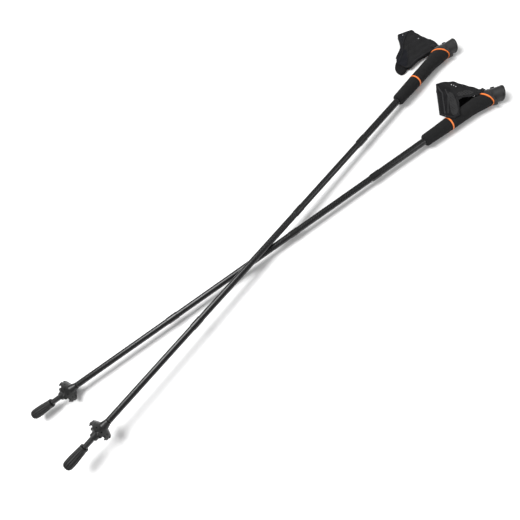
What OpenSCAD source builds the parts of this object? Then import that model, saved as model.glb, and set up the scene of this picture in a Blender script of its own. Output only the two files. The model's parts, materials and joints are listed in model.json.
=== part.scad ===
// A pair of folding trekking poles with click-in hand straps, laid crossed on the ground.
// Each pole is drawn upright in its own frame and then laid down: its axis is Z with the top of the
// grip at 0 and the tip below, +X is the strap side, and distances "from the top" run down the pole.

/* [Pole lengths] */
// Top of the grip to the lower end of the foam
grip_len = 190; // [180:1:200]
// Top of the grip to the lower end of the lock ferrule
upper_len = 322; // [300:1:345]
// Second section, lock ferrule to the lower end of its own ferrule
section_2_len = 204; // [180:1:260]
// Third section, ferrule to ferrule
section_3_len = 315; // [280:1:360]
// Fourth section, ferrule to the end of the rubber paw
section_4_len = 359; // [330:1:380]

/* [Tubes] */
// Outer diameter of the upper tube
upper_d = 15; // [14.9:0.1:15.4]
// Wall of the upper tube
upper_wall = 0.7; // [0.6:0.05:0.7]
// Outer diameter of the three folding tubes
lower_d = 13.5; // [13:0.1:13.5]
// Wall of the folding tubes
lower_wall = 1.2; // [1:0.1:1.4]
// Radial clearance of every sliding or turning fit
fit_gap = 0.05; // [0.03:0.01:0.09]
// Length of each spigot that slides into the tube above it
spigot_engage = 38; // [30:1:45]
// Diameter of the tension cord
cord_d = 3; // [2.5:0.1:3.4]

/* [Grip] */
// Diameter of the foam above the lower ring
foam_d = 28.6; // [27:0.1:29]
// Diameter at the bottom of the lower foam
foam_end_d = 26; // [24:0.1:27]
// How far the head leans forward, in degrees
head_lean = 28; // [20:1:30]
// Slant of the upper ring, in degrees, low at the strap side
ring_slant = 20.5; // [16:0.5:22]
// Diameter of the head at its end
head_end_d = 31; // [29:0.5:31]

/* [Basket and paw] */
// Diameter of the trail basket
basket_d = 50; // [46:1:50]
// Number of lobes around the basket
basket_lobes = 8; // [4:4:8]
// Largest diameter of the rubber paw
paw_d = 22.4; // [21:0.2:23]
// Number of grooves around the paw
paw_grooves = 12; // [8:1:14]

/* [Laying out] */
// Angle between the two poles where they cross, in degrees
crossing_angle = 15.2; // [14:0.2:20]
// Distance from the top of the upper pole (a) to the crossing
crossing_a = 634; // [610:1:650]
// Distance from the top of the lower pole (b) to the crossing
crossing_b = 595; // [580:1:620]

/* [Hidden] */
POLES = ["a", "b"];
PARTS = ["grip_head", "top_cap", "strap_button", "button_spring", "latch_pin", "strap_loop",
         "hand_strap", "strap_closure", "upper_ring", "grip_foam", "lower_ring", "lower_foam",
         "upper_tube", "lock_ferrule", "lock_button", "lock_spring", "tube_2", "ferrule_2",
         "spigot_2", "tube_3", "ferrule_3", "spigot_3", "tube_4", "tension_cord", "cord_stop",
         "cord_anchor", "tip_shaft", "basket", "carbide_tip", "paw"];
$fn = 72;

// Stations along the pole, from the top
joint_2 = upper_len + section_2_len;
joint_3 = joint_2 + section_3_len;
pole_len = joint_3 + section_4_len;
basket_rim = pole_len - 92;
hub_top = basket_rim - 28;
hub_end = basket_rim + 18;
paw_top = pole_len - 50;
ring_mid = grip_len - 144;
lower_ring_top = grip_len - 61;
ring_w = 2.6;
tube_top = 38;

// Fits between tubes, spigots and ferrules
lower_r = lower_d / 2;
lower_bore = lower_r - lower_wall;
spigot_r = lower_bore - fit_gap;
spigot_bore = 2.6;
spigot_glued = 25;
ferrule_lip = 6;
ferrule_len = 22;
ferrule_3_len = 26;
ferrule_d = lower_d + 1.4;
ferrule_3_d = lower_d + 1.8;
ferrule_edge = 1.2;

// Head: the leaning barrel starts at head_base and is barrel_len long
head_base = [-2.6, 0, -29.7];
barrel_len = 17.5;
neck_r = 13.2;
head_r = head_end_d / 2;
cap_bore = 11;
cap_bore_depth = 6;
dome_rise = 2.4;
collar_t = 7;
ring_a = 19.6;
ring_b = 15.2;
ring_x = -1.5;
latch = [8.5, 0, -31.5];
latch_r = 1.5;
button_size = [8, 7, 7.6];
button_proud = 3.6;
button_at = 4.5;
button_gap = 0.25;
loop_w = 6.4;
loop_t = 2.6;

// Lock button, at the lower edge of the lock ferrule on the side away from the strap
lock_at = upper_len + 3.2;
lock_r = 2.4;
lock_turn = 215;

// Rest heights of the two laid poles' axes, at the grip and at the basket
rest_station = 8;
grip_rest = 15.55;
rim_rest = basket_d / 2 + 0.05;
rise_b = (rim_rest - grip_rest) / (basket_rim - rest_station);
height_b = grip_rest + rise_b * (crossing_b - rest_station);
cross_gap = lower_d + 0.15;
rise_a = (height_b + cross_gap - grip_rest) / (crossing_a - rest_station);
slope_a = atan(rise_a);
slope_b = atan(rise_b);
// Moves the crossing so that the origin is under the middle of the laid pair
crossing_x = -11.5;
crossing_y = -49.6;

function station(u) = [0, 0, -u];
// Points of an ellipse with half axes a and b
function ellipse(a, b, count = 60) =
    [for (i = [0 : count - 1]) [a * cos(360 * i / count), b * sin(360 * i / count)]];

// Turns a profile of [radius, distance from the top] points around the pole
module turned(profile) {
    rotate_extrude() polygon([for (p = profile) [p[0], -p[1]]]);
}

// A plain tube between two stations
module tube(outer_r, bore_r, top, bottom) {
    turned([[bore_r, top], [outer_r, top], [outer_r, bottom], [bore_r, bottom]]);
}

// Places a piece in the frame of the slanted upper ring
module on_ring_plane() {
    translate([ring_x, 0, -ring_mid]) rotate([0, ring_slant, 0]) children();
}

// Places a piece in the frame of the leaning head, Z along the barrel
module on_head_axis() {
    translate(head_base) rotate([0, -head_lean, 0]) children();
}

// Lays an upright pole on the ground
module lay(pole) {
    heading = (pole == "a" ? 1 : -1) * crossing_angle / 2;
    slope = pole == "a" ? slope_a : slope_b;
    station_x = pole == "a" ? crossing_a : crossing_b;
    height = pole == "a" ? height_b + cross_gap : height_b;
    translate([crossing_x, crossing_y, height])
        rotate([0, 0, heading])
            rotate([0, slope, 0])
                rotate([90, 0, 90])
                    translate([0, 0, station_x]) children();
}

// Moulded head with a slanted collar, a leaning barrel and the strap latch pocket
module grip_head() {
    color([0.17, 0.17, 0.18]) difference() {
        union() {
            on_ring_plane() translate([-1.5, 0, ring_w / 2])
                linear_extrude(collar_t) polygon(ellipse(ring_a + 1.6, ring_b - 0.4));
            hull() {
                on_ring_plane() translate([-0.5, 0, ring_w / 2 + collar_t - 1.8])
                    linear_extrude(1) polygon(ellipse(ring_a - 2.4, ring_b - 1.2, 40));
                on_head_axis() translate([0, 0, -0.8]) cylinder(r = neck_r - 0.7, h = 4, $fn = 40);
            }
            on_head_axis() cylinder(r1 = neck_r, r2 = head_r - 0.4, h = barrel_len);
        }
        translate([0, 0, -tube_top - 40]) cylinder(r = upper_d / 2, h = 40);
        on_head_axis() translate([0, 0, barrel_len - cap_bore_depth])
            cylinder(r = cap_bore, h = cap_bore_depth + 1);
        on_head_axis()
            translate([neck_r - 6.5, -button_size[1] / 2 - button_gap, button_at - 4 - button_gap])
            cube([20, button_size[1] + 2 * button_gap, button_size[0] + 2 * button_gap]);
        on_head_axis() translate([neck_r - 6.4, 0, button_at]) rotate([0, -90, 0])
            cylinder(r = 2.6, h = 4);
        translate([latch[0] - 3.6, -loop_w / 2 - 0.4, latch[2] - 3.8])
            cube([30, loop_w + 0.8, 7.6]);
        translate([latch[0], 9.4, latch[2]]) rotate([90, 0, 0])
            cylinder(r = latch_r, h = 18.8);
    }
}

// Flared end of the head, a domed plug
module top_cap() {
    edge = 1.6;
    color([0.15, 0.15, 0.16]) on_head_axis() translate([0, 0, barrel_len]) rotate_extrude()
        polygon([[0, -cap_bore_depth], [cap_bore, -cap_bore_depth], [cap_bore, 0], [head_r - 0.4, 0],
                 [head_r, 0.6],
                 for (a = [0 : 30 : 90]) [head_r - edge + edge * cos(a), 1.4 + edge * sin(a)],
                 [head_r * 0.55, 1.4 + edge + dome_rise * 0.8], [0, 1.4 + edge + dome_rise]]);
}

// Release button of the strap latch, with a rounded back
module strap_button() {
    depth = button_size[2];
    color([0.1, 0.1, 0.1]) on_head_axis()
        translate([neck_r + button_proud - depth, -button_size[1] / 2, button_at - 4])
            intersection() {
                cube([depth, button_size[1], button_size[0]]);
                translate([depth - 9, -1, 4]) rotate([-90, 0, 0])
                    cylinder(r = 9, h = button_size[1] + 2);
            }
}

// Small coil spring under the release button
module button_spring() {
    turns = 4;
    steps = 14;
    coil_r = 1.8;
    wire = 0.35;
    length = 5.5;
    sides = 6;
    rings = turns * steps;
    color("silver") on_head_axis() translate([neck_r - 10.2, 0, button_at]) rotate([0, 90, 0])
        polyhedron(
            points = [for (i = [0 : rings]) for (j = [0 : sides - 1])
                let (turn = 360 * i / steps, r = coil_r + wire * cos(360 * j / sides))
                    [r * cos(turn), r * sin(turn),
                     wire + length * i / rings + wire * sin(360 * j / sides)]],
            faces = concat(
                [[for (j = [0 : sides - 1]) j]],
                [for (i = [0 : rings - 1]) for (j = [0 : sides - 1])
                    [i * sides + j, (i + 1) * sides + j, (i + 1) * sides + (j + 1) % sides,
                     i * sides + (j + 1) % sides]],
                [[for (j = [sides - 1 : -1 : 0]) rings * sides + j]]));
}

// Steel pin across the head that the strap's cord loop turns on
module latch_pin() {
    color("silver") translate([latch[0], 9.4, latch[2]]) rotate([90, 0, 0])
        cylinder(r = latch_r, h = 18.8);
}

// Cord loop of the strap: an eye around the latch pin and two strands out to the strap
module strap_loop() {
    eye_r = latch_r + fit_gap;
    reach = 13.4;
    color([0.05, 0.05, 0.05]) translate([latch[0], loop_w / 2, latch[2]]) rotate([90, 0, 0])
        difference() {
            union() {
                cylinder(r = eye_r + 1.5, h = loop_w);
                translate([0, -loop_t / 2, 0]) cube([reach, loop_t, loop_w]);
            }
            translate([0, 0, -1]) cylinder(r = eye_r, h = loop_w + 2);
            translate([eye_r + 1.5, -loop_t, loop_t]) cube([reach - 5, 2 * loop_t, loop_w - 2 * loop_t]);
        }
}

// A layer of the strap: its outline is [distance from the top, distance to the strap side]
module layer(outline, low, high) {
    translate([0, high, 0]) rotate([90, 0, 0])
        linear_extrude(high - low) polygon([for (p = outline) [p[1], -p[0]]]);
}

// Levels a flat strap with the ground, about the latch pin
module level() {
    translate(latch) rotate([-slope_a, 0, 0]) translate(-latch) children();
}

// Half-glove strap. On pole a it lies flat, and on pole b it stands open over the grip
module hand_strap(pole) {
    color([0.08, 0.08, 0.09]) if (pole == "a") {
        level() difference() {
            layer([[27, 22], [20, 34], [18, 66], [11, 98], [29, 122], [41, 112], [64, 90], [96, 77],
                   [101, 42.5], [100, 33.5], [70, 32], [52, 26], [38, 22]], -15.4, -1.8);
            layer([[0, 37], [0, 79], [140, 79], [140, 37]], -12.4, -4);
        }
    } else {
        layer([[51, 29.5], [61.2, 49], [66.5, 68], [89.5, 88.4], [113, 53], [102, 9], [88, 25], [80, 25],
               [66, 14], [54, 9], [46, 12]], 15.8, 17.8);
        layer([[40, 24], [52, 30.4], [61.2, 49.2], [66.4, 68.2], [89.4, 88.2], [107, 58], [96, 24],
               [80, 26], [56, 23.5]], -14.6, -12.6);
        layer([[29, 22.2], [36, 27.5], [50, 32], [59, 50], [64, 70], [88, 90.5], [91, 86.5], [69, 66],
               [63.5, 48], [54, 28.5], [42, 22.2]], -14.8, 18);
    }
}

// Hook-and-loop closure at the wrist end of the strap
module strap_closure(pole) {
    color([0.06, 0.06, 0.06]) if (pole == "a") {
        level() layer([[96.5, 76.5], [110, 69.5], [117, 57], [117.5, 46], [111, 41.5], [101.4, 43]],
                      -15.2, -12.6);
    } else {
        layer([[113.4, 53], [136, 21], [129, 4], [122, -3], [112, -5], [102.4, 8.8]], 15.8, 18.6);
    }
}

// Slanted accent ring between the head and the foam
module upper_ring() {
    color([1, 0.45, 0.1]) difference() {
        on_ring_plane() translate([0, 0, -ring_w / 2])
            linear_extrude(ring_w) polygon(ellipse(ring_a + 0.3, ring_b + 0.3));
        translate([0, 0, -80]) cylinder(r = upper_d / 2, h = 60);
    }
}

// Foam grip, flared up to the slanted ring
module grip_foam() {
    flare_end = 30;
    color([0.14, 0.14, 0.14]) difference() {
        union() {
            hull() {
                on_ring_plane() translate([0, 0, -ring_w / 2 - 1])
                    linear_extrude(1) polygon(ellipse(ring_a, ring_b, 44));
                translate(station(ring_mid + flare_end)) cylinder(d = foam_d + 1, h = 1, $fn = 44);
            }
            turned([[0, ring_mid + flare_end - 1], [foam_d / 2 + 0.5, ring_mid + flare_end - 1],
                    [foam_d / 2, lower_ring_top], [0, lower_ring_top]]);
        }
        translate([0, 0, -lower_ring_top - 1]) cylinder(r = upper_d / 2, h = 120);
    }
}

// Accent ring between the two foams
module lower_ring() {
    color([1, 0.45, 0.1]) tube(foam_d / 2 + 0.2, upper_d / 2, lower_ring_top, lower_ring_top + ring_w);
}

// Foam sleeve under the lower ring, with a rounded end
module lower_foam() {
    top = lower_ring_top + ring_w;
    round = 4;
    color([0.14, 0.14, 0.14]) turned(concat(
        [[upper_d / 2, top], [foam_d / 2 - 0.2, top]],
        [for (a = [0 : 18 : 90]) [foam_end_d / 2 - round + round * cos(a),
                                grip_len - round + round * sin(a)]],
        [[upper_d / 2, grip_len]]));
}

// Upper tube, from the head to the lock ferrule
module upper_tube() {
    color([0.1, 0.1, 0.11]) tube(upper_d / 2, upper_d / 2 - upper_wall, tube_top, upper_len - 5);
}

// Ferrule that guides the second section and holds its lock
module lock_ferrule() {
    top = upper_len - ferrule_len;
    outer = upper_d / 2 + 0.7;
    color([0.03, 0.03, 0.03]) difference() {
        turned([[0, top], [outer - 0.4, top], [outer, top + 1], [outer, upper_len - 1.4],
                [outer - ferrule_edge, upper_len], [0, upper_len]]);
        translate(station(upper_len - 5)) cylinder(r = upper_d / 2, h = 40);
        translate(station(upper_len + 1)) cylinder(r = lower_r + fit_gap, h = ferrule_lip + 1);
    }
}

// Places a piece on the lock button's axis, Z outwards
module on_lock_axis() {
    translate(station(lock_at)) rotate([0, 0, lock_turn]) rotate([0, 90, 0]) children();
}

// Spring button that holds the second section out
module lock_button() {
    reach = lower_r + 1.5;
    color("silver") on_lock_axis() rotate_extrude()
        polygon([[0, 3.4], [lock_r + 0.8, 3.4], [lock_r + 0.8, 4.4], [lock_r - fit_gap, 4.4],
                 for (a = [0 : 22.5 : 90]) [(lock_r - fit_gap) * cos(a),
                                         reach - lock_r * 0.6 + lock_r * 0.6 * sin(a)]]);
}

// Folded leaf spring that pushes the lock button out
module lock_spring() {
    leaf = 0.5;
    width = 5;
    color("silver") translate(station(lock_at)) rotate([0, 0, lock_turn]) translate([0, width / 2, 0])
        rotate([90, 0, 0]) linear_extrude(width)
            polygon([[3.3, 5], [3.3 - leaf, 5], [2.6, -16], [1, -20], [-1, -20], [-2.6, -16], [-4, 5],
                     [-4 - leaf, 5], [-3.2, -16.2], [-1.2, -20.6], [1.2, -20.6], [3.2, -16.2]]);
}

// Second tube, with the lock button's hole, its top inside the upper tube
module tube_2() {
    color([0.11, 0.11, 0.12]) difference() {
        tube(lower_r, lower_bore, upper_len - 60, joint_2 - ferrule_lip);
        on_lock_axis() cylinder(r = lock_r, h = 20);
    }
}

// Glossy ferrule on the end of a tube; the next section seats in its lip
module ferrule(end, length, outer_d) {
    outer = outer_d / 2;
    top = end - length;
    color([0.02, 0.02, 0.02]) difference() {
        turned([[0, top], [outer - 0.5, top], [outer, top + ferrule_edge], [outer, end - ferrule_edge],
                [outer - 0.4, end], [0, end]]);
        translate(station(end - ferrule_lip)) cylinder(r = lower_r, h = length);
        translate(station(end + 1)) cylinder(r = lower_r + fit_gap, h = ferrule_lip + 1);
    }
}

module ferrule_2() {
    ferrule(joint_2, ferrule_len, ferrule_d);
}

module ferrule_3() {
    ferrule(joint_3, ferrule_3_len, ferrule_3_d);
}

// Spigot glued into the top of a section, sliding in the tube above; seat is where the tubes meet
module spigot(seat) {
    color([0.6, 0.6, 0.62]) difference() {
        turned([[0, seat - spigot_engage], [spigot_r - 1, seat - spigot_engage],
                [spigot_r, seat - spigot_engage + 3], [spigot_r, seat], [lower_bore, seat],
                [lower_bore, seat + spigot_glued], [0, seat + spigot_glued]]);
        translate(station(seat + spigot_glued + 1)) cylinder(r = spigot_bore, h = spigot_engage + 40);
    }
}

module spigot_2() {
    spigot(joint_2 - ferrule_lip);
}

module spigot_3() {
    spigot(joint_3 - ferrule_lip);
}

// Third tube
module tube_3() {
    color([0.11, 0.11, 0.12]) tube(lower_r, lower_bore, joint_2 - ferrule_lip, joint_3 - ferrule_lip);
}

// Fourth tube, which carries the tip
module tube_4() {
    color([0.11, 0.11, 0.12]) tube(lower_r, lower_bore, joint_3 - ferrule_lip, hub_top - 2);
}

// Tension cord through the folding sections, with a knot at the top
module tension_cord() {
    knot = upper_len + 60;
    foot = hub_top - 70;
    color([0.75, 0.75, 0.7]) {
        translate(station(foot)) cylinder(d = cord_d, h = foot - knot);
        translate(station(knot)) sphere(r = lower_bore - 1.2);
    }
}

// Plug in the second tube that the tension cord's knot pulls on
module cord_stop() {
    top = upper_len + 65;
    color([0.3, 0.3, 0.3]) difference() {
        turned([[0, top], [lower_bore, top], [lower_bore, top + 12], [0, top + 12]]);
        translate(station(top + 13)) cylinder(d = cord_d + 0.2, h = 14);
    }
}

// Plug in the fourth tube that the tension cord is anchored in
module cord_anchor() {
    top = hub_top - 86;
    bottom = hub_top - 60;
    color([0.3, 0.3, 0.3]) difference() {
        turned([[0, top], [lower_bore, top], [lower_bore, bottom], [0, bottom]]);
        translate(station(hub_top - 69)) cylinder(d = cord_d + 0.2, h = 40);
    }
}

// Flexible tip shaft, glued into the fourth tube
module tip_shaft() {
    shaft_r = 5.85;
    color([0.07, 0.07, 0.07]) difference() {
        turned([[0, hub_top - 45], [lower_bore, hub_top - 45], [lower_bore, hub_top - 2],
                [lower_r, hub_top - 2], [lower_r, hub_top + 1], [shaft_r, hub_top + 3],
                [shaft_r, paw_top + 20], [4.2, paw_top + 26], [0, paw_top + 26]]);
        translate(station(paw_top + 27)) cylinder(r = 2, h = 13);
    }
}

// Trail basket: a scalloped dish with holes and teeth on a two-sided hub
module basket() {
    rim_r = basket_d / 2;
    lobe_angle = 360 / basket_lobes;
    hub_bore = 5.85 + fit_gap;
    scallop_r = 40 / basket_lobes;
    color([0.1, 0.1, 0.1]) difference() {
        union() {
            intersection() {
                turned([[0, basket_rim - 13], [9.8, basket_rim - 11.5], [14, basket_rim - 9.5],
                        [rim_r, basket_rim - 3.2], [rim_r, basket_rim], [14, basket_rim - 6],
                        [0, basket_rim - 6]]);
                translate(station(basket_rim + 1)) linear_extrude(30) difference() {
                    circle(r = rim_r + 1);
                    for (i = [0 : basket_lobes - 1])
                        rotate(lobe_angle * (i + 0.5)) translate([rim_r + 0.9, 0]) circle(r = scallop_r);
                }
            }
            for (i = [0 : basket_lobes - 1]) for (k = [-1, 1])
                rotate(lobe_angle * i + 6.5 * k) translate([rim_r - 3.4, -1.1, -basket_rim - 1.6])
                    cube([2.4, 2.2, 4]);
            turned([[0, hub_top + 3.2], [6.9, hub_top + 3.2], [7.2, hub_top + 6], [10.4, basket_rim - 11],
                    [10.6, basket_rim - 4], [9.4, basket_rim + 6], [9.2, hub_end - 1.2], [8.2, hub_end],
                    [0, hub_end]]);
        }
        translate(station(hub_end + 1)) cylinder(r = hub_bore, h = 80);
        for (i = [0 : basket_lobes - 1])
            rotate(lobe_angle * i) translate([17.5, 0, -basket_rim - 2]) cylinder(r = 1.5, h = 30);
    }
}

// Carbide tip under the paw
module carbide_tip() {
    color("silver") turned([[0, paw_top + 15], [2, paw_top + 15], [2, paw_top + 34], [3, paw_top + 34],
                            [3, paw_top + 36], [0, paw_top + 36]]);
}

// Rubber paw, a fluted foot that pulls off the tip
module paw() {
    paw_r = paw_d / 2;
    groove_r = 1.25;
    groove_lean = 4.2;
    color([0.1, 0.1, 0.1]) difference() {
        turned([[0, paw_top], [8.2, paw_top], [8.9, paw_top + 0.8], [9.3, paw_top + 6],
                [paw_r - 0.7, paw_top + 24], [paw_r, paw_top + 33], [paw_r - 0.4, paw_top + 40],
                [paw_r - 1.7, paw_top + 46], [paw_r - 4, paw_top + 49], [paw_r - 6.5, pole_len],
                [0, pole_len]]);
        translate(station(paw_top + 26.2)) cylinder(r = 5.85 + fit_gap, h = 40);
        translate(station(paw_top + 36.2)) cylinder(r = 3.1, h = 30);
        for (i = [0 : paw_grooves - 1])
            rotate(360 * i / paw_grooves) translate([paw_r + 0.55, 0, -pole_len - 1])
                rotate([0, -groove_lean, 0]) cylinder(r = groove_r, h = 42, $fn = 24);
    }
}

// One named sub-part of one pole
module part(name, pole) {
    if (name == "grip_head") grip_head();
    if (name == "top_cap") top_cap();
    if (name == "strap_button") strap_button();
    if (name == "button_spring") button_spring();
    if (name == "latch_pin") latch_pin();
    if (name == "strap_loop") strap_loop();
    if (name == "hand_strap") hand_strap(pole);
    if (name == "strap_closure") strap_closure(pole);
    if (name == "upper_ring") upper_ring();
    if (name == "grip_foam") grip_foam();
    if (name == "lower_ring") lower_ring();
    if (name == "lower_foam") lower_foam();
    if (name == "upper_tube") upper_tube();
    if (name == "lock_ferrule") lock_ferrule();
    if (name == "lock_button") lock_button();
    if (name == "lock_spring") lock_spring();
    if (name == "tube_2") tube_2();
    if (name == "ferrule_2") ferrule_2();
    if (name == "spigot_2") spigot_2();
    if (name == "tube_3") tube_3();
    if (name == "ferrule_3") ferrule_3();
    if (name == "spigot_3") spigot_3();
    if (name == "tube_4") tube_4();
    if (name == "tension_cord") tension_cord();
    if (name == "cord_stop") cord_stop();
    if (name == "cord_anchor") cord_anchor();
    if (name == "tip_shaft") tip_shaft();
    if (name == "basket") basket();
    if (name == "carbide_tip") carbide_tip();
    if (name == "paw") paw();
}

for (pole = POLES) for (name = PARTS)
    lay(pole) part(name, pole);
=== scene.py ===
"""Looks for a pair of folding trekking poles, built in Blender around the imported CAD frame.

Pieces are drawn in a pole's own millimetres, as in the CAD source: Z runs up the pole with 0 at the
top of the grip, X points to the strap side, and a station u is the distance down from the top.
The straps are drawn on the ground: u down the pole, r to the strap side, h above the ground.
"""

import json
import math

import bmesh
import bpy
import numpy as np
from mathutils import Matrix, Vector
from mathutils.geometry import delaunay_2d_cdt


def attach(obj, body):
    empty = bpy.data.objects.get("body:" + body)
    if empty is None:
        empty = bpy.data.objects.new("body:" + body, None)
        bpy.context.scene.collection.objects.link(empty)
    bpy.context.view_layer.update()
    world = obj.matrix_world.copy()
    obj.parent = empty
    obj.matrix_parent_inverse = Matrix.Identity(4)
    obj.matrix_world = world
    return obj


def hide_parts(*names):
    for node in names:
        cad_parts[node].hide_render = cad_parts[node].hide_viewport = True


MM = 0.001

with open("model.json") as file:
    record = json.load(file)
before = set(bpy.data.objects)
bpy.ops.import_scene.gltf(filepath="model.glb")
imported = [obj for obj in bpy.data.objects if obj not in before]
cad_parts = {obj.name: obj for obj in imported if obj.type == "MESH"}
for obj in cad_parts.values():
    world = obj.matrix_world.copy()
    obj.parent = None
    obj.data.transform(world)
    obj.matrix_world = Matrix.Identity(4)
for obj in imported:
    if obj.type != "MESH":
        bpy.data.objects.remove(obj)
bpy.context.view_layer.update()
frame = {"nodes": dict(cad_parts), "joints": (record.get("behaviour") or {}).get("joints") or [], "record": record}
mounts = {m["name"]: m for m in frame["record"]["mounts"]}
joints = {j["name"]: j for j in frame["joints"]}


class Pole:
    """One pole's name and the matrices from its own millimetres to the frame."""

    def __init__(self, name):
        self.name = name
        up = Vector(mounts[f"pole_{name}_grip_top"]["axis"])
        side = Vector(mounts[f"pole_{name}_strap_side"]["axis"])
        top = Vector(mounts[f"pole_{name}_grip_top"]["pos_m"])
        latch = Vector(joints[f"pole_{name}_strap_swing"]["pos_m"])
        self.matrix = frame_of(side, up.cross(side), up, top)
        along = Vector((up.x, up.y, 0)).normalized()
        latch_u = (top - latch).dot(up)
        latch_r = (latch - top).dot(side)
        under_latch = Vector((latch.x, latch.y, 0))
        self.ground = frame_of(side, Vector((0, 0, 1)), along,
                               under_latch - side * latch_r + along * latch_u)

    def named(self, part):
        """Full name of one of this pole's parts or bodies."""
        return f"pole_{self.name}_{part}"

    def node(self, part):
        return frame["nodes"][self.named(part)]

    def extent(self, part):
        """Lowest and highest corner of a CAD piece in this pole's millimetres."""
        node = self.node(part)
        back = self.matrix.inverted() @ node.matrix_world
        points = [back @ v.co for v in node.data.vertices]
        return [tuple(pick(p[i] for p in points) for i in range(3)) for pick in (min, max)]


def frame_of(x, y, z, origin):
    """Matrix from millimetres along x, y and z, from an origin, to the frame's metres."""
    m = Matrix((x * MM, y * MM, z * MM)).transposed().to_4x4()
    m.translation = origin
    return m


poles = [Pole("a"), Pole("b")]


# Camera and light

def make_camera():
    """Looks down on the crossing from the open side, turned so the poles run corner to corner."""
    aim = Vector((-0.023, -0.044, 0))
    distance = 0.9138
    elevation = math.radians(62.4)
    azimuth = math.radians(-0.6)
    roll = math.radians(-41.5)
    data = bpy.data.cameras.new("camera")
    data.sensor_width = 36
    data.lens = 29.54
    camera = bpy.data.objects.new("camera", data)
    bpy.context.scene.collection.objects.link(camera)
    level = math.cos(elevation)
    back = Vector((math.sin(azimuth) * level, -math.cos(azimuth) * level, math.sin(elevation)))
    camera.location = aim + back * distance
    facing = (-back).to_track_quat("-Z", "Y").to_matrix().to_4x4()
    camera.rotation_euler = (facing @ Matrix.Rotation(roll, 4, "Z")).to_euler()
    bpy.context.scene.camera = camera


def round_light(name, position, size, power):
    """A round area light that faces the crossing of the poles."""
    data = bpy.data.lights.new(name, "AREA")
    data.shape = "DISK"
    data.size = size
    data.energy = power
    light = bpy.data.objects.new(name, data)
    bpy.context.scene.collection.objects.link(light)
    light.location = position
    light.rotation_euler = (-Vector(position)).to_track_quat("-Z", "Y").to_euler()


def make_surround():
    """World light by height: pale at the horizon, dimmer above it and brightest overhead."""
    horizon, low_sky, overhead = (0.0, 0.62), (0.25, 0.28), (0.85, 1.0)
    world = bpy.data.worlds.new("surround")
    world.use_nodes = True
    tree = world.node_tree
    direction = tree.nodes.new("ShaderNodeTexCoord").outputs["Generated"]
    split = tree.nodes.new("ShaderNodeSeparateXYZ")
    tree.links.new(direction, split.inputs[0])
    ramp = tree.nodes.new("ShaderNodeValToRGB")
    tree.links.new(split.outputs["Z"], ramp.inputs["Fac"])
    ramp.color_ramp.elements.new(0.5)
    for element, (height, level) in zip(ramp.color_ramp.elements, (horizon, low_sky, overhead)):
        element.position = height
        element.color = (*grey(level), 1)
    tree.links.new(ramp.outputs["Color"], tree.nodes["Background"].inputs["Color"])
    tree.nodes["Background"].inputs["Strength"].default_value = 0.66
    bpy.context.scene.world = world


def make_studio():
    """A pale floor, a soft key light from beyond the poles, a small fill and the surround."""
    round_light("key_light", (-0.65, 0.75, 2.3), 1.5, 78)
    round_light("fill_light", (1.2, -1.6, 1.3), 0.7, 8)
    make_surround()
    bpy.ops.mesh.primitive_plane_add(size=30, location=(0, 0, 0))
    floor = bpy.context.object
    floor.name = "floor"
    n = Nodes("floor_paper")
    grain = n.noise(n.object_coordinates(), 3.0, 2)
    n.colour(n.ramp(grain, (0.3, grey(0.90)), (0.7, grey(0.93))))
    n.constant(Roughness=0.9)
    n.constant(Specular_IOR_Level=0.2)
    floor.data.materials.append(n.material)


# Node materials

def grey(level, blue=None):
    """A grey; a cool or warm one has its own level of blue."""
    return (level, level, level if blue is None else blue)


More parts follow.
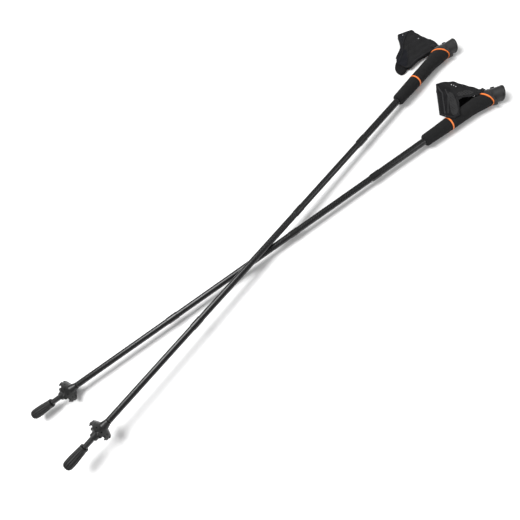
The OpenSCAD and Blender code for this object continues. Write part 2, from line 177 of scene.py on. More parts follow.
class Nodes:
    """A principled material and short ways to add nodes to it."""

    def __init__(self, name):
        self.material = bpy.data.materials.new(name)
        self.material.use_nodes = True
        self.tree = self.material.node_tree
        self.shader = self.tree.nodes["Principled BSDF"]

    def node(self, kind, **settings):
        node = self.tree.nodes.new(kind)
        for key, value in settings.items():
            setattr(node, key, value)
        return node

    def link(self, source, target):
        if hasattr(source, "links"):
            self.tree.links.new(source, target)
        else:
            target.default_value = source

    def math(self, operation, a, b=0.0):
        node = self.node("ShaderNodeMath", operation=operation)
        self.link(a, node.inputs[0])
        self.link(b, node.inputs[1])
        return node.outputs[0]

    def object_coordinates(self):
        return self.node("ShaderNodeTexCoord").outputs["Object"]

    def millimetres(self, matrix):
        """Coordinates in the millimetres of that matrix, whichever body the piece rides on."""
        place, turn, scale = matrix.decompose()
        node = self.node("ShaderNodeMapping", vector_type="TEXTURE")
        self.link(self.object_coordinates(), node.inputs["Vector"])
        node.inputs["Location"].default_value = place
        node.inputs["Rotation"].default_value = turn.to_euler()
        node.inputs["Scale"].default_value = scale
        return node.outputs["Vector"]

    def split(self, vector):
        node = self.node("ShaderNodeSeparateXYZ")
        self.link(vector, node.inputs[0])
        return node.outputs

    def noise(self, vector, scale, detail=3.0, roughness=0.5):
        node = self.node("ShaderNodeTexNoise")
        self.link(vector, node.inputs["Vector"])
        node.inputs["Scale"].default_value = scale
        node.inputs["Detail"].default_value = detail
        node.inputs["Roughness"].default_value = roughness
        return node.outputs["Fac"]

    def cells(self, vector, scale, randomness=1.0):
        """Distance to the middle of the nearest cell."""
        node = self.node("ShaderNodeTexVoronoi")
        self.link(vector, node.inputs["Vector"])
        node.inputs["Scale"].default_value = scale
        node.inputs["Randomness"].default_value = randomness
        return node.outputs["Distance"]

    def ramp(self, factor, *stops):
        """Colours between (place, (r, g, b)) stops."""
        node = self.node("ShaderNodeValToRGB")
        self.link(factor, node.inputs["Fac"])
        elements = node.color_ramp.elements
        while len(elements) < len(stops):
            elements.new(0.5)
        for element, (place, rgb) in zip(elements, stops):
            element.position = place
            element.color = (*rgb, 1)
        return node.outputs["Color"]

    def weighted(self, *terms):
        """Sum of (value, weight) terms."""
        total = 0.0
        for value, weight in terms:
            total = self.math("ADD", total, self.math("MULTIPLY", value, weight))
        return total

    def between(self, factor, low, high):
        """A value that goes from low to high as the factor goes from 0 to 1."""
        return self.math("ADD", self.math("MULTIPLY", factor, high - low), low)

    def mix(self, factor, a, b):
        node = self.node("ShaderNodeMix", data_type="RGBA")
        self.link(factor, node.inputs["Factor"])
        self.link(a if hasattr(a, "links") else (*a, 1), node.inputs["A"])
        self.link(b if hasattr(b, "links") else (*b, 1), node.inputs["B"])
        return node.outputs["Result"]

    def colour(self, value):
        self.link(value, self.shader.inputs["Base Color"])

    def roughness(self, value):
        self.link(value, self.shader.inputs["Roughness"])

    def bump(self, height, depth):
        """Bump of that depth in millimetres."""
        node = self.node("ShaderNodeBump")
        node.inputs["Strength"].default_value = 1.0
        node.inputs["Distance"].default_value = depth * MM
        self.link(height, node.inputs["Height"])
        self.link(node.outputs["Normal"], self.shader.inputs["Normal"])

    def constant(self, **values):
        for key, value in values.items():
            self.shader.inputs[key.replace("_", " ")].default_value = value


def tube_coat(pole):
    """Satin black tube with a fine twill weave under its lacquer, and light scuffs."""
    tows = 28
    tube_radius = 6.75
    n = Nodes(f"tube_coat_{pole.name}")
    where = n.millimetres(pole.matrix)
    x, y, z = n.split(where)
    across = n.math("MULTIPLY", n.math("ARCTAN2", y, x), tows / (2 * math.pi))
    along = n.math("MULTIPLY", z, tows / (2 * math.pi * tube_radius))
    step = n.math("ADD", n.math("FLOOR", across), n.math("FLOOR", along))
    over = n.math("LESS_THAN", n.math("FLOORED_MODULO", step, 4.0), 1.5)
    bow_across = n.math("PINGPONG", across, 0.5)
    bow_along = n.math("PINGPONG", along, 0.5)
    tow = n.math("ADD", n.math("MULTIPLY", over, bow_across),
                 n.math("MULTIPLY", n.math("SUBTRACT", 1.0, over), bow_along))
    scuff = n.noise(where, 0.35, 6, 0.65)
    weave = n.mix(over, grey(0.003, 0.0032), grey(0.006, 0.0063))
    n.colour(n.mix(n.math("MULTIPLY", scuff, 0.3), weave, grey(0.016, 0.017)))
    n.roughness(n.math("ADD", n.between(over, 0.19, 0.23), n.math("MULTIPLY", scuff, 0.08)))
    n.bump(n.math("ADD", tow, n.math("MULTIPLY", scuff, 0.4)), 0.015)
    n.constant(Specular_IOR_Level=0.38)
    return n.material


def foam(pole):
    """Closed-cell foam: charcoal, matt, pitted, with a mottled skin."""
    n = Nodes(f"foam_{pole.name}")
    where = n.millimetres(pole.matrix)
    mottle = n.noise(where, 0.12, 4, 0.6)
    pits = n.cells(where, 1.3)
    fine = n.noise(where, 2.2, 2)
    n.colour(n.ramp(n.weighted((mottle, 0.7), (fine, 0.3)),
                    (0.30, grey(0.008, 0.0082)), (0.70, grey(0.015, 0.0154))))
    n.roughness(n.between(mottle, 0.78, 0.95))
    n.bump(n.weighted((pits, 1.0), (fine, 0.8)), 0.22)
    n.constant(Specular_IOR_Level=0.14)
    n.constant(Sheen_Weight=0.02)
    n.constant(Sheen_Roughness=0.6)
    return n.material


def plastic(label, pole, dark, light, rough, grain=0.9, depth=0.03, coat=0.0, shine=0.35):
    """Moulded plastic with a fine spark-eroded grain and faint handling marks."""
    n = Nodes(f"{label}_{pole.name}")
    where = n.millimetres(pole.matrix)
    cloud = n.noise(where, 0.08, 5, 0.6)
    sparks = n.noise(where, grain * 2, 2)
    n.colour(n.mix(n.weighted((cloud, 0.8), (sparks, 0.2)), dark, light))
    n.roughness(n.between(n.weighted((cloud, 0.6), (sparks, 0.4)), rough - 0.08, rough + 0.10))
    n.bump(sparks, depth)
    n.constant(Specular_IOR_Level=shine)
    n.constant(Coat_Weight=coat)
    n.constant(Coat_Roughness=0.08)
    return n.material


def metal(label, pole, tint, rough, streaks, matrix=None):
    """Metal with fine turning or drawing marks across its axis."""
    n = Nodes(f"{label}_{pole.name}")
    x, y, z = n.split(n.millimetres(matrix or pole.matrix))
    lines = n.node("ShaderNodeCombineXYZ")
    n.link(n.math("MULTIPLY", x, 0.15), lines.inputs[0])
    n.link(n.math("MULTIPLY", y, 0.15), lines.inputs[1])
    n.link(n.math("MULTIPLY", z, streaks), lines.inputs[2])
    marks = n.noise(lines.outputs[0], 2.0, 4, 0.7)
    n.colour(n.mix(marks, tuple(0.8 * c for c in tint), tint))
    n.roughness(n.between(marks, rough, rough + 0.18))
    n.bump(marks, 0.012)
    n.constant(Metallic=1.0)
    return n.material


def woven(label, pole, matrix, dark, light, thread, depth):
    """Plain-woven webbing or lining cloth: threads over and under each other."""
    n = Nodes(f"{label}_{pole.name}")
    where = n.millimetres(matrix)
    x, _, z = n.split(where)
    warp = n.math("SINE", n.math("MULTIPLY", x, 2 * math.pi / thread))
    weft = n.math("SINE", n.math("MULTIPLY", z, 2 * math.pi / thread))
    lift = n.math("MULTIPLY", warp, weft)
    fluff = n.noise(where, 1.6, 4, 0.7)
    wear = n.noise(where, 0.07, 3)
    level = n.weighted((lift, 0.25), (fluff, 0.5), (wear, 0.35))
    n.colour(n.ramp(level, (0.2, dark), (0.75, light)))
    n.roughness(n.between(fluff, 0.75, 0.95))
    n.bump(n.weighted((lift, 1.0), (fluff, 0.6)), depth)
    n.constant(Sheen_Weight=0.06)
    n.constant(Sheen_Roughness=0.45)
    n.constant(Sheen_Tint=(*grey(0.5, 0.52), 1))
    n.constant(Specular_IOR_Level=0.18)
    return n.material


def cloth_black(label, pole, matrix, thread, depth):
    """Black webbing or lining."""
    return woven(label, pole, matrix, grey(0.004, 0.0045), grey(0.013, 0.014), thread, depth)


def perforated(label, pole, pitch, dark, light):
    """Spacer mesh: rows of small holes in a soft knit, the holes painted near-black as painted shade."""
    n = Nodes(f"{label}_{pole.name}")
    where = n.millimetres(pole.ground)
    around = n.math("MULTIPLY", n.cells(where, 1 / pitch, 0.0), 2.6)
    hole = n.math("SUBTRACT", 1.0, n.math("SMOOTH_MIN", around, 1.0))
    fluff = n.noise(where, 2.0, 3, 0.7)
    knit = n.ramp(fluff, (0.3, dark), (0.7, light))
    # the holes are painted near-black: painted shade inside them
    n.colour(n.mix(n.math("GREATER_THAN", hole, 0.35), knit, grey(0.002)))
    n.roughness(n.between(fluff, 0.7, 0.95))
    n.bump(n.math("SUBTRACT", n.math("MULTIPLY", fluff, 0.3), hole), 0.5)
    n.constant(Sheen_Weight=0.05)
    n.constant(Sheen_Roughness=0.5)
    n.constant(Specular_IOR_Level=0.18)
    return n.material


def brushed_loop(label, pole):
    """Hook-and-loop pile: a felted, slightly lighter fuzz."""
    n = Nodes(f"{label}_{pole.name}")
    where = n.millimetres(pole.ground)
    fuzz = n.noise(where, 1.1, 8, 0.8)
    curl = n.cells(where, 1.0)
    n.colour(n.ramp(fuzz, (0.35, grey(0.003, 0.0034)), (0.65, grey(0.009, 0.0103))))
    n.roughness(n.between(fuzz, 0.85, 1.0))
    n.bump(n.weighted((fuzz, 1.0), (curl, 0.5)), 0.7)
    n.constant(Sheen_Weight=0.08)
    n.constant(Sheen_Roughness=0.5)
    n.constant(Specular_IOR_Level=0.15)
    return n.material


# Mesh building

def make_piece(name, points, faces, matrix, material, body, replaces=()):
    """A smooth mesh object from points in a matrix's millimetres."""
    mesh = bpy.data.meshes.new(name)
    mesh.from_pydata([matrix @ Vector(p) for p in points], [], faces)
    mesh.validate()
    tidy = bmesh.new()
    tidy.from_mesh(mesh)
    bmesh.ops.recalc_face_normals(tidy, faces=tidy.faces)
    tidy.to_mesh(mesh)
    tidy.free()
    for face in mesh.polygons:
        face.use_smooth = True
    mesh.materials.append(material)
    piece = bpy.data.objects.new(name, mesh)
    bpy.context.scene.collection.objects.link(piece)
    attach(piece, body)
    if replaces:
        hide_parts(*replaces)
    return piece


def skin(rings):
    """Points and faces of a closed skin over rings that have the same number of points."""
    count = len(rings[0])
    points = [p for ring in rings for p in ring]
    faces = []
    for i in range(len(rings) - 1):
        a, b = i * count, (i + 1) * count
        for j in range(count):
            k = (j + 1) % count
            faces.append((a + j, a + k, b + k, b + j))
    faces.append(tuple(range(count)))
    faces.append(tuple(reversed(range(len(points) - count, len(points)))))
    return points, faces


def round_section(r, z, count=96, b=None):
    """Points of a circle at height z, or of an ellipse with half widths r and b."""
    turns = [2 * math.pi * i / count for i in range(count)]
    return [(r * math.cos(w), (b or r) * math.sin(w), z) for w in turns]


def turned(profile, segments=96):
    """Rings of a profile of (radius, u) points turned around the pole."""
    return [[Vector(p) for p in round_section(r, -u, segments)] for r, u in profile]


def smooth_step(t):
    t = min(1.0, max(0.0, t))
    return t * t * (3 - 2 * t)


def rounded(outline):
    """A closed outline with its corners cut twice, until they are round."""
    points = [Vector(p) for p in outline]
    for _ in range(2):
        cuts = []
        for a, b in zip(points, points[1:] + points[:1]):
            cuts.append(a.lerp(b, 0.2))
            cuts.append(a.lerp(b, 0.8))
        points = cuts
    return points


def spaced(line, step, closed=False):
    """Points at an even step along a line."""
    points = list(line) + ([line[0]] if closed else [])
    lengths = [(b - a).length for a, b in zip(points, points[1:])]
    total = sum(lengths)
    count = max(2, round(total / step))
    found = []
    for i in range(count + (0 if closed else 1)):
        want = min(total * i / count, total - 1e-9)
        for (a, b), length in zip(zip(points, points[1:]), lengths):
            if want <= length or length == lengths[-1] and b is points[-1]:
                found.append(a.lerp(b, min(1.0, want / max(length, 1e-9))))
                break
            want -= length
    return found


def distance_to(outline, points):
    """Distance of each 2-D point to a closed outline."""
    a = np.array([tuple(p) for p in outline])
    b = np.roll(a, -1, axis=0)
    p = np.array([tuple(q) for q in points])[:, None]
    t = np.clip(((p - a) * (b - a)).sum(2) / np.maximum(((b - a) ** 2).sum(1), 1e-12), 0, 1)
    return np.linalg.norm(p - a - t[..., None] * (b - a), axis=2).min(1)


CLOTH_STEP = 2.0


def cloth_mesh(outline):
    """Triangles over a 2-D outline, with an even border and a staggered grid inside."""
    step = CLOTH_STEP
    border = spaced(rounded(outline), step, closed=True)
    low = Vector((min(p.x for p in border), min(p.y for p in border)))
    high = Vector((max(p.x for p in border), max(p.y for p in border)))
    row = step * 0.866
    grid = []
    for j in range(int((high.y - low.y) / row) + 1):
        for i in range(int((high.x - low.x) / step) + 1):
            grid.append(Vector((low.x + (i + 0.5 * (j % 2)) * step, low.y + j * row)))
    clear = distance_to(border, grid)
    grid = [p for p, d in zip(grid, clear) if d > step * 0.55]
    loop = [list(range(len(border)))]
    found, _, faces, *_ = delaunay_2d_cdt(border + grid, [], loop, 1, 1e-4)
    return found, faces, border


def thicken(piece, thickness, offset):
    solid = piece.modifiers.new("thickness", "SOLIDIFY")
    solid.thickness = thickness * MM
    solid.offset = offset


def sweep(path, section):
    """Rings of a 2-D section carried along a path, its second axis kept towards Y."""
    rings = []
    for i, p in enumerate(path):
        ahead = path[min(i + 1, len(path) - 1)]
        behind = path[max(i - 1, 0)]
        way = (ahead - behind).normalized()
        side = way.cross(Vector((0, 1, 0))).normalized()
        top = side.cross(way)
        rings.append([p + side * a + top * b for a, b in section])
    return rings


def oval(a, b, count=12, power=2.0):
    """Points of a rounded section with half widths a and b; a higher power is squarer."""
    points = []
    for i in range(count):
        t = 2 * math.pi * i / count
        c, s = math.cos(t), math.sin(t)
        points.append((a * math.copysign(abs(c) ** (2 / power), c),
                       b * math.copysign(abs(s) ** (2 / power), s)))
    return points


def flat_tape(width, thick):
    return oval(width, thick, 12, 2.6)


def rounded_box(name, centre, size, matrix, radius, turn=0.0):
    """A box with rounded edges, turned about Y, in a matrix's millimetres."""
    made = bmesh.new()
    bmesh.ops.create_cube(made, size=1.0, matrix=Matrix.Diagonal((*size, 1)))
    bmesh.ops.bevel(made, geom=made.edges[:], offset=radius, segments=4, profile=0.5,
                    affect="EDGES")
    made.transform(matrix @ Matrix.Translation(centre) @ Matrix.Rotation(turn, 4, "Y"))
    mesh = bpy.data.meshes.new(name)
    made.to_mesh(mesh)
    made.free()
    for face in mesh.polygons:
        face.use_smooth = True
    piece = bpy.data.objects.new(name, mesh)
    bpy.context.scene.collection.objects.link(piece)
    return piece


def cut(piece, cutters):
    """Cuts other pieces out of a piece and removes them."""
    for cutter in cutters:
        hole = piece.modifiers.new("pocket", "BOOLEAN")
        hole.operation = "DIFFERENCE"
        hole.solver = "EXACT"
        hole.object = cutter
    bpy.context.view_layer.update()
    finished = piece.evaluated_get(bpy.context.evaluated_depsgraph_get())
    mesh = bpy.data.meshes.new_from_object(finished)
    piece.modifiers.clear()
    piece.data = mesh
    for cutter in cutters:
        bpy.data.objects.remove(cutter)


def round_edges(piece, width, degrees):
    """Rounds edges sharper than an angle; the width is in millimetres."""
    bevel = piece.modifiers.new("round_edge", "BEVEL")
    bevel.width = width * MM
    bevel.segments = 2
    bevel.limit_method = "ANGLE"
    bevel.angle_limit = math.radians(degrees)


# Heads

RING_MID = 46
RING_TILT = math.radians(20.5)
RING_NORMAL = Vector((math.sin(RING_TILT), 0, math.cos(RING_TILT)))
RING_HALF = 1.3
HEAD_LEAN = math.radians(-28)
HEAD_TURN = Matrix.Rotation(HEAD_LEAN, 3, "Y")
HEAD_BASE = Vector((-2.6, 0, -29.7))
NECK_R = 13.2
BUTTON_AT = 4.5


def tilted(angle, centre, points):
    """Points of a flat section turned about Y and set on a centre."""
    c, s = math.cos(angle), math.sin(angle)
    return [Vector((centre.x + c * x + s * z, y, centre.z - s * x + c * z)) for x, y, z in points]


def neck_section(share, a, b, beak):
    """A section of the neck: share 0 lies on the slanted ring, share 1 on the barrel's base."""
    centre = (Vector((-3.0, 0, -RING_MID)) + RING_NORMAL * RING_HALF).lerp(HEAD_BASE, share)
    centre += RING_NORMAL * 3.2 * share * (1 - share)
    points = [(x * (1 + beak / a * max(0.0, -x / a) ** 6), y, z)
              for x, y, z in round_section(a, 0, b=b)]
    return tilted(RING_TILT + (HEAD_LEAN - RING_TILT) * smooth_step(share), centre, points)


def barrel_section(r, z):
    return tilted(HEAD_LEAN, HEAD_BASE, round_section(r, z))


def make_head(pole):
    """Moulded head: slanted collar with a beak, narrow neck and a leaning, flared barrel."""
    body = pole.named("shaft")
    satin = plastic("head_plastic", pole, grey(0.014, 0.0145), grey(0.030, 0.031), 0.40)
    darker = plastic("cap_plastic", pole, grey(0.010, 0.0105), grey(0.022, 0.023), 0.36)
    neck = [(0.00, 20.2, 14.7, 0.0), (0.04, 20.9, 15.2, 1.0), (0.20, 21.0, 15.2, 3.2),
            (0.36, 20.6, 15.0, 4.2), (0.44, 19.6, 14.6, 3.6), (0.52, 18.0, 14.0, 2.0),
            (0.66, 16.2, 13.4, 0.8), (0.82, 14.6, 12.9, 0.2)]
    barrel = [(12.9, 0.0), (12.8, 1.6), (13.0, 3.2), (13.7, 7.0), (14.4, 11.5), (14.9, 15.4),
              (15.0, 16.6), (14.6, 17.0)]
    sections = [neck_section(*row) for row in neck] + [barrel_section(*row) for row in barrel]
    points, faces = skin(sections)
    head = make_piece(pole.named("head_shell"), points, faces, pole.matrix, satin, body,
                      [pole.named("grip_head")])
    slot = rounded_box("slot", Vector((22.5, 0, -31.6)), (28, 7.6, 7.8), pole.matrix, 1.2)
    pocket_centre = HEAD_BASE + HEAD_TURN @ Vector((16.0, 0, BUTTON_AT))
    pocket = rounded_box("pocket", pocket_centre, (16, 8.0, 9.0), pole.matrix, 1.0, HEAD_LEAN)
    cut(head, [slot, pocket])
    round_edges(head, 0.35, 40)
    shade = head.modifiers.new("even_shading", "WEIGHTED_NORMAL")
    shade.keep_sharp = True
    dome = [(0.05, 16.0), (14.4, 16.0), (14.7, 17.2), (15.2, 17.35), (15.5, 17.9), (15.5, 18.9),
            (15.3, 20.0), (14.7, 20.9), (13.7, 21.6), (11.5, 22.2), (8.0, 22.7), (4.0, 23.0),
            (0.4, 23.1)]
    points, faces = skin([barrel_section(*row) for row in dome])
    make_piece(pole.named("head_cap"), points, faces, pole.matrix, darker, body,
               [pole.named("top_cap")])


def make_button(pole):
    """Release button: a thumb pad that stands out of its pocket, with three ribs."""
    black = plastic("button_plastic", pole, grey(0.010, 0.011), grey(0.026, 0.028), 0.30)

    def part(name, out, along, size, radius):
        place = HEAD_BASE + HEAD_TURN @ Vector((NECK_R + out, 0, BUTTON_AT + along))
        piece = rounded_box(pole.named(name), place, size, pole.matrix, radius, HEAD_LEAN)
        piece.data.materials.append(black)
        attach(piece, pole.named("strap_button"))
        return piece

    pad = part("button_pad", 1.3, 0, (8.2, 7.2, 8.0), 1.7)
    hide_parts(pole.named("strap_button"))
    for i in (1, 2, 3):
        part(f"button_rib_{i}", 5.3, 1.7 * (i - 2), (0.9, 5.4, 0.8), 0.3)


# Grip foams

def make_foams(pole):
    """Foam grip, flared to the slanted ring, and the rounded sleeve under the lower ring."""
    eva = foam(pole)
    body = pole.named("shaft")
    top_centre = Vector((-1.5, 0, -RING_MID)) - RING_NORMAL * RING_HALF
    flare_foot = Vector((0, 0, -78))
    half_long, half_wide, foam_r = 19.2, 14.8, 14.7
    edge = 0.6
    rings = []
    for share in (0.0, 0.03, 0.1, 0.2, 0.32, 0.45, 0.6, 0.78, 1.0):
        t = smooth_step(share)
        shy = edge if share == 0.0 else 0.0
        a = half_long + (foam_r - half_long) * t - shy
        b = half_wide + (foam_r - half_wide) * t - shy
        centre = top_centre.lerp(flare_foot, share)
        rings.append(tilted(RING_TILT * (1 - t), centre, round_section(a, 0, b=b)))
    ring_low, ring_high = pole.extent("lower_ring")
    ring_top, ring_bottom = -ring_high[2], -ring_low[2]
    rings += turned([(14.55, 90), (14.35, 104), (14.3, ring_top - 1.5), (14.0, ring_top - edge),
                     (13.2, ring_top)])
    points, faces = skin(rings)
    make_piece(pole.named("foam_grip"), points, faces, pole.matrix, eva, body,
               [pole.named("grip_foam")])
    foam_end = -pole.extent("lower_foam")[0][2]
    start = ring_bottom + 1.4
    round_r = 4
    length = foam_end - round_r - start
    start_r, taper = 14.15, 1.1
    sleeve = [(13.2, ring_bottom), (14.0, ring_bottom + 0.4), (start_r, start)]
    sleeve += [(start_r - taper * smooth_step(i / 6), start + length * i / 6) for i in range(1, 7)]
    centre_r = start_r - taper - round_r
    for degrees in range(15, 91, 15):
        a = math.radians(degrees)
        sleeve.append((centre_r + round_r * math.cos(a), foam_end - round_r * (1 - math.sin(a))))
    sleeve.append((7.6, foam_end))
    points, faces = skin(turned(sleeve))
    make_piece(pole.named("foam_sleeve"), points, faces, pole.matrix, eva, body,
               [pole.named("lower_foam")])


# Rubber paw

def make_paw(pole):
    """Rubber paw: flared at its open top, fluted along its sides, with a blunt rounded end."""
    low, high = pole.extent("paw")
    top, length, radius = -high[2], high[2] - low[2], high[0]
    flutes = 12
    flute_depth = 1.5
    bore = 5.95
    shape = [(0.0, 0.80), (0.02, 0.84), (0.045, 0.85), (0.06, 0.82), (0.12, 0.83), (0.22, 0.86),
             (0.36, 0.91), (0.50, 0.96), (0.64, 0.995), (0.76, 1.0), (0.86, 0.985), (0.92, 0.94),
             (0.96, 0.87), (0.985, 0.77), (1.0, 0.60)]
    count = flutes * 14
    rings = turned([(bore, top + length * 0.5), (bore, top + 1.0), (bore + 0.8, top)], count)
    for share, wide in shape:
        fluting = smooth_step((share - 0.08) / 0.12) * smooth_step((1.02 - share) / 0.10)
        ring = []
        for i in range(count):
            w = 2 * math.pi * i / count
            groove = max(0.0, (math.cos(flutes * w) - 0.1) / 0.9) ** 0.7
            r = radius * wide - flute_depth * groove * fluting
            ring.append(Vector((r * math.cos(w), r * math.sin(w), -(top + length * share))))
        rings.append(ring)
    points, faces = skin(rings)
    rubber = plastic("paw_tread", pole, grey(0.006), grey(0.018), 0.42, 1.2, 0.06)
    make_piece(pole.named("paw_tread"), points, faces, pole.matrix, rubber, pole.named("paw"),
               [pole.named("paw")])


# Straps

class Strap:
    """A pole's strap and short ways to sew its pieces, which lie along (u, r) points."""

    def __init__(self, pole):
        self.pole = pole
        ground = pole.ground
        self.cloths = {
            "knit": perforated("strap_mesh", pole, 2.3, grey(0.006, 0.0065), grey(0.015, 0.016)),
            "airy": perforated("strap_airy", pole, 4.2, grey(0.014, 0.0145), grey(0.034, 0.035)),
            "lining": cloth_black("strap_lining", pole, ground, 1.1, 0.2),
            "neoprene": woven("strap_neoprene", pole, ground, (0.004, 0.0043, 0.006),
                              (0.010, 0.0106, 0.0155), 0.6, 0.1),
            # a lighter copy of the tape cloth: painted highlight along the ridges
            "piping": woven("strap_piping", pole, ground, grey(0.020, 0.021),
                            grey(0.052, 0.055), 0.9, 0.2),
            "tape": woven("strap_tape", pole, ground, grey(0.008, 0.0085),
                          grey(0.026, 0.028), 0.9, 0.2),
            "pile": brushed_loop("strap_pile", pole),
            "steel": metal("strap_snap", pole, grey(0.6, 0.61), 0.25, 1.0, ground),
            "thread": woven("strap_thread", pole, ground, grey(0.02, 0.021),
                            grey(0.05, 0.053), 0.4, 0.05),
        }

    def piece(self, part, points, faces, cloth, slot="strap_fabric", stands_for=()):
        pole = self.pole
        return make_piece(pole.named(f"strap_{part}"), points, faces, pole.ground,
                          self.cloths[cloth], pole.named("strap"),
                          [pole.named(other) for other in stands_for])

    def sheet(self, part, cloth, thickness, height, outline, slot="strap_fabric", stands_for=()):
        """A panel over an outline, lifted to height(u, r) above the ground."""
        flat, faces, border = cloth_mesh([Vector(p) for p in outline])
        points = [(p.y, height(p.x, p.y), -p.x) for p in flat]
        piece = self.piece(part, points, faces, cloth, slot, stands_for)
        if sum(f.normal.z * f.area for f in piece.data.polygons) < 0:
            piece.data.flip_normals()
        thicken(piece, thickness, -1)
        round_edges(piece, thickness * 0.3, 50)

    def raised(self, line, step, height, lift):
        """Points of the ground frame at an even step along a line on a height field."""
        return [Vector((p.y, height(p.x, p.y) + lift, -p.x))
                for p in spaced([Vector(p) for p in line], step)]

    def tape(self, part, cloth, width, thick, lift, height, line):
        """Edge tape or piping along a line."""
        path = self.raised(line, 1.6, height, lift)
        self.piece(part, *skin(sweep(path, flat_tape(width, thick))), cloth)

    def stitches(self, part, height, line):
        """A row of thread stitches, each dipped into the cloth at its ends."""
        path = self.raised(line, 2.6, height, 0.35)
        shape = ((0.12, -0.25), (0.3, 0.05), (0.64, 0.05), (0.82, -0.25))
        points, faces = [], []
        for a, b in zip(path, path[1:]):
            stitch = [a.lerp(b, share) + Vector((0, rise, 0)) for share, rise in shape]
            more, found = skin(sweep(stitch, oval(0.22, 0.22, 6)))
            faces += [tuple(i + len(points) for i in face) for face in found]
            points += more
        self.piece(part, points, faces, "thread")

    def wall(self, part, low, bulge, height, line):
        """Side of a strap: cloth between its underside and its top."""
        path = spaced([Vector(p) for p in line], 2.0)
        steps = 8
        count = len(path)
        points = []
        for k in range(steps + 1):
            share = k / steps
            out = bulge * math.sin(math.pi * share)
            for p in path:
                rise = (height(p.x, p.y) - 0.6 - low) * share
                points.append(Vector((p.y + out * 0.8, low + rise, -p.x + out * 0.5)))
        faces = []
        for k in range(steps):
            for i in range(k * count, (k + 1) * count - 1):
                faces.append((i, i + 1, i + 1 + count, i + count))
        thicken(self.piece(part, points, faces, "lining"), 1.6, 0)

    def web(self, part, width, thick, path):
        """A short flat web along (u, r, h) points, from the strap to its loop."""
        section = flat_tape(width, thick)
        self.piece(part, *skin(sweep([Vector((r, h, -u)) for u, r, h in path], section)), "tape")

    def snap(self, part, height, u, r):
        """Small domed snap, set on the strap."""
        radius = 1.3
        profile = ((1.0, -0.4), (1.0, 0.3), (0.82, 0.6), (0.5, 0.65), (0.4, 0.5), (0.02, 0.45))
        rings = []
        for share, lift in profile:
            flat = round_section(radius * share, 0, 18)
            rings.append([Vector((r + x, height(u, r) + lift, y - u)) for x, y, _ in flat])
        self.piece(part, *skin(rings), "steel", "spring_steel")


def raised_by(height, lift):
    """A height field set higher by a lift."""
    return lambda u, r: height(u, r) + lift


def level(h):
    return lambda u, r: h


def strap_a_height(u, r):
    """Flat strap: raised to the loop at its narrow end, puffed up in the middle, creased."""
    puff = smooth_step((r - 20) / 24) * smooth_step((124 - r) / 30)
    lift = 1 - smooth_step((r - 21) / 26)
    crease = 0.8 * math.sin(0.22 * u + 0.09 * r) + 0.5 * math.sin(0.35 * r - 0.12 * u + 1)
    return 4.4 + 7.6 * puff + 8.5 * lift + crease * puff


def strap_a_tab_height(u, r):
    return 9.5 - 5.5 * smooth_step((u - 90) / 24)


def strap_b_height(u, r):
    """Standing strap: level over the grip, lower at its outer fold and creased inside it."""
    fold = (u - 89) * 0.81 + (r - 88) * 0.57
    outer = smooth_step(1 - abs(fold) / 16) if fold < 0 else 1.0
    crease = 0.5 * math.sin(0.3 * u + 0.2 * r) + 0.5 * math.sin(0.23 * r - 0.16 * u)
    inner = smooth_step(-fold / 12) if fold < 0 else 0.0
    drop = 4.0 * (1 - smooth_step((u - 98) / 26))
    return 32.2 + crease * inner - drop * (1 - inner) * outer


def strap_b_wall_height(u, r):
    """The standing strap's side: lower beside the head, up to the top panel farther out."""
    by_head = 19.0
    return by_head + (strap_b_height(u, r) - by_head) * smooth_step((r - 25) / 20)


def make_strap_loop(pole):
    """Cord loop round the latch pin: two strands that run out of the head to the strap."""
    black = cloth_black("loop_cord", pole, pole.matrix, 0.8, 0.12)
    pin = Vector((8.5, 0, -31.5))
    bend_r = 2.35
    for i, y in enumerate((-1.9, 1.9)):
        bend = []
        for degrees in range(40, 321, 20):
            a = math.radians(degrees)
            bend.append(pin + Vector((bend_r * math.cos(a), y, bend_r * math.sin(a))))
        far = [pin + Vector((9.0, y, -0.9)), pin + Vector((14.2, y * 0.8, -0.5))]
        near = [pin + Vector((14.2, y * 0.8, 0.5)), pin + Vector((9.0, y, 0.9))]
        points, faces = skin(sweep(near + bend + far, oval(1.15, 1.15, 10)))
        make_piece(pole.named(f"loop_cord_{i + 1}"), points, faces, pole.matrix, black,
                   pole.named("strap"), [pole.named("strap_loop")] if i == 0 else [])


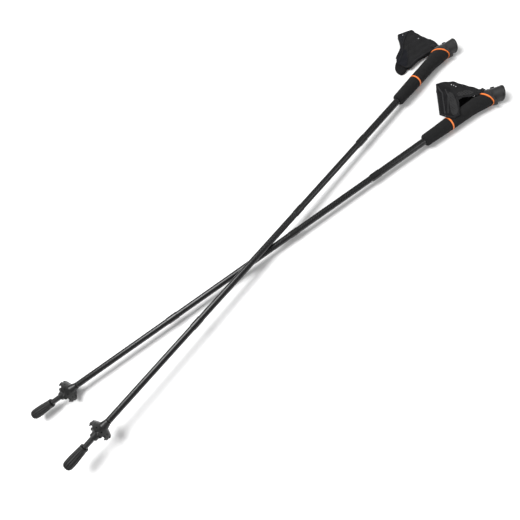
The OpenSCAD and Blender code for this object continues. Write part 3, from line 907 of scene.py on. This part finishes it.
def make_strap_a(pole):
    """Half-glove strap lying flat: mesh panel, wrist band, taped edges and a closure tab."""
    strap = Strap(pole)
    top = strap_a_height
    band_top = raised_by(top, 1.4)
    strap.sheet("top", "knit", 1.8, top,
                [(24, 17), (18, 34), (16.5, 64), (12.5, 88), (8.5, 98), (28, 123.5), (40, 113),
                 (58, 92), (64, 88.5), (97, 77), (102, 45), (101, 38.5), (87, 37), (69, 34),
                 (50, 27), (36, 20)], stands_for=["hand_strap"])
    strap.sheet("underside", "lining", 1.4, level(2.6),
                [(28, 24), (23, 36), (20, 64), (14, 97), (28, 118), (40, 108), (62, 87), (94, 75),
                 (99, 47), (97, 41), (69, 37.5), (50, 29.5), (36, 24)])
    strap.wall("side_out", 2.4, 1.0, top, [(29, 119), (41, 109), (62, 87), (92, 77)])
    strap.wall("side_in", 2.4, -0.8, top, [(28, 24), (36, 23), (50, 29), (69, 37), (97, 40)])
    strap.sheet("band", "neoprene", 1.4, band_top,
                [(11, 98), (28, 121), (40, 111), (62, 88), (96, 76.5), (99, 66), (84, 71),
                 (69, 77), (48, 92), (26, 100)])
    strap.sheet("patch", "neoprene", 1.1, raised_by(top, 1.0),
                [(63, 86), (96, 76.5), (103, 64), (103, 50), (101, 43), (79, 56), (64, 68)])
    strap.sheet("tab", "pile", 2.6, strap_a_tab_height,
                [(92, 77.5), (110, 70), (118, 57), (118.5, 45.5), (111, 40.5), (97, 43)],
                "closure_fabric", ["strap_closure"])
    strap.sheet("tab_face", "lining", 0.8, raised_by(strap_a_tab_height, 1.0),
                [(98, 74), (109, 68), (115.5, 56.5), (116, 47.5), (109.5, 44), (99, 46)],
                "closure_fabric")
    strap.tape("tape_low", "tape", 2.3, 1.5, -0.6, top,
               [(36, 21.5), (50, 28), (69, 35), (87, 38), (99, 39), (101, 46), (101, 56)])
    strap.tape("tape_top", "tape", 1.9, 1.4, -0.6, top,
               [(24.5, 18), (18.6, 34), (17.2, 64), (13.2, 88), (10.2, 97), (13, 102)])
    strap.tape("tape_left", "tape", 1.8, 1.5, -0.8, band_top,
               [(10.5, 97.5), (28.3, 121.5), (39.5, 112), (58, 91.5), (64, 87.5), (92, 78)])
    strap.tape("ridge_1", "tape", 1.2, 1.0, -0.1, band_top,
               [(22, 104), (26, 103), (48, 93), (69, 78), (83, 72), (97, 67)])
    strap.tape("ridge_2", "tape", 1.1, 0.9, 0.2, top, [(30, 94), (35, 91), (64, 69), (80, 57)])
    strap.stitches("stitch_1", top, [(48, 31), (63, 39), (77, 43), (96, 44)])
    strap.stitches("stitch_2", top, [(24, 38), (22, 66), (17, 92)])
    strap.stitches("stitch_3", band_top, [(23, 107), (30, 115), (60, 85), (90, 74)])
    strap.snap("snap_1", band_top, 28, 109)
    strap.snap("snap_2", top, 23, 70)
    strap.web("web", 4.4, 1.3, [(30, 32, 14.4), (30, 26, 14.8), (30.6, 20, 15.9), (31.3, 15, 16.2)])


def make_strap_b(pole):
    """Half-glove strap standing open over the grip: folded panel, flap, hems and lower half."""
    strap = Strap(pole)
    top = strap_b_height
    flap_top = raised_by(top, 1.2)
    strap.sheet("top", "knit", 1.8, top,
                [(46, 10), (50, 27), (61, 49), (66.5, 67), (90, 88.5), (114, 53), (103, 8),
                 (88, 25), (80, 25), (66, 14), (55, 7.5)], stands_for=["hand_strap"])
    strap.sheet("underside", "lining", 1.6, level(3.2),
                [(40, 22), (54, 32), (63, 50), (68, 67), (89, 86), (108, 58), (104, 19), (80, 17),
                 (56, 15), (42, 16)])
    strap.wall("wall", 2.8, 2.0, strap_b_wall_height,
               [(36, 24), (40, 25), (51, 30), (61, 49), (66.5, 67.5), (89.5, 88)])
    strap.sheet("flap", "pile", 1.6, flap_top,
                [(87, 86), (92, 87), (115, 53), (137, 21), (130, 4), (123, -4), (112, -5.5),
                 (101, 8), (92, 23), (86, 38), (80, 60)], "closure_fabric", ["strap_closure"])
    strap.tape("hem_side", "tape", 1.8, 1.3, -0.2, flap_top,
               [(89, 30), (94, 19), (103, 8), (112, -4)])
    strap.tape("hem_low", "tape", 2.2, 1.3, -0.2, flap_top,
               [(111, -4.5), (122, -2.8), (129, 4.5), (136, 21)])
    strap.tape("hem_left", "tape", 1.8, 1.5, -0.4, flap_top, [(90.5, 87), (114, 53), (136, 20.5)])
    strap.tape("tape_top", "tape", 1.8, 1.4, -0.5, top,
               [(46.5, 11), (50.7, 27), (61.5, 49), (67, 66.5), (90, 87.5)])
    strap.tape("tape_low", "tape", 1.6, 1.3, -0.5, top,
               [(47, 10.5), (55, 8.3), (66, 14.8), (80, 25.3), (89, 25.3)])
    # the ridges use the lighter piping cloth, a painted highlight along their tops
    strap.tape("ridge_1", "piping", 1.3, 1.2, 0.4, flap_top,
               [(94, 79), (97, 70), (99, 60), (129, 15)])
    strap.tape("ridge_2", "piping", 1.1, 1.0, 0.3, flap_top, [(90, 62), (97, 45), (125, 11)])
    strap.sheet("airy_hem", "airy", 0.9, raised_by(flap_top, 1.1),
                [(86, 49), (93, 51), (106, 31), (120, 8), (121, -1), (112, -2), (101, 13),
                 (92, 29)], "closure_fabric")
    strap.sheet("airy_arm", "airy", 0.9, raised_by(top, 0.9),
                [(57, 14), (61, 30), (68, 33), (80, 40), (85, 31), (79, 27.5), (66, 18)])
    strap.stitches("stitch_1", flap_top, [(95, 27), (106, 12), (113, 2)])
    strap.stitches("stitch_2", top, [(53, 22), (63, 44), (70, 64), (88, 81)])
    for i, (u, r) in enumerate(((74, 63), (72.5, 58), (71.5, 53))):
        strap.snap(f"snap_{i + 1}", top, u, r)
    strap.web("web_top", 2.6, 1.1, [(54, 13, 32.3), (49, 11.5, 32.0), (43, 11.5, 29.8),
                                    (37, 13, 25), (33, 14.5, 19), (31.8, 16.5, 16.4)])
    strap.web("web_side", 2.4, 1.1, [(44, 27, 13.5), (38, 25, 14.5), (33, 21.5, 15.7),
                                     (31.6, 17, 15.9)])


# Materials of the CAD pieces that stay

def dress(pole):
    """Gives every CAD piece that stays its material."""
    finish = [
        (tube_coat(pole), ["upper_tube", "tube_2", "tube_3", "tube_4"]),
        (plastic("ferrule_gloss", pole, grey(0.004), grey(0.009), 0.20, 0.5, 0.01, 0.4, 0.2),
         ["lock_ferrule", "ferrule_2", "ferrule_3"]),
        (plastic("ring_orange", pole, (0.90, 0.19, 0.035), (1.0, 0.27, 0.06), 0.38, 0.8, 0.02),
         ["upper_ring", "lower_ring"]),
        (plastic("shaft_plastic", pole, grey(0.008), grey(0.018), 0.2, 0.6, 0.01, 0.4),
         ["tip_shaft"]),
        (plastic("basket_plastic", pole, grey(0.006), grey(0.016), 0.34), ["basket"]),
        (plastic("plug_plastic", pole, grey(0.06), grey(0.1), 0.5), ["cord_stop", "cord_anchor"]),
        (metal("spigot_alloy", pole, grey(0.62, 0.64), 0.28, 3.0), ["spigot_2", "spigot_3"]),
        (metal("steel", pole, grey(0.68), 0.18, 2.0),
         ["lock_button", "lock_spring", "latch_pin", "button_spring"]),
        (metal("carbide", pole, grey(0.30, 0.31), 0.4, 1.0), ["carbide_tip"]),
        (woven("braid", pole, pole.matrix, grey(0.35, 0.33), grey(0.7, 0.66), 0.9, 0.15),
         ["tension_cord"]),
    ]
    for material, parts in finish:
        for part in parts:
            materials = pole.node(part).data.materials
            materials.clear()
            materials.append(material)


make_camera()
make_studio()
for one_pole in poles:
    make_head(one_pole)
    make_button(one_pole)
    make_foams(one_pole)
    make_paw(one_pole)
    make_strap_loop(one_pole)
    dress(one_pole)
make_strap_a(poles[0])
make_strap_b(poles[1])

bpy.context.scene.view_settings.view_transform = "Standard"
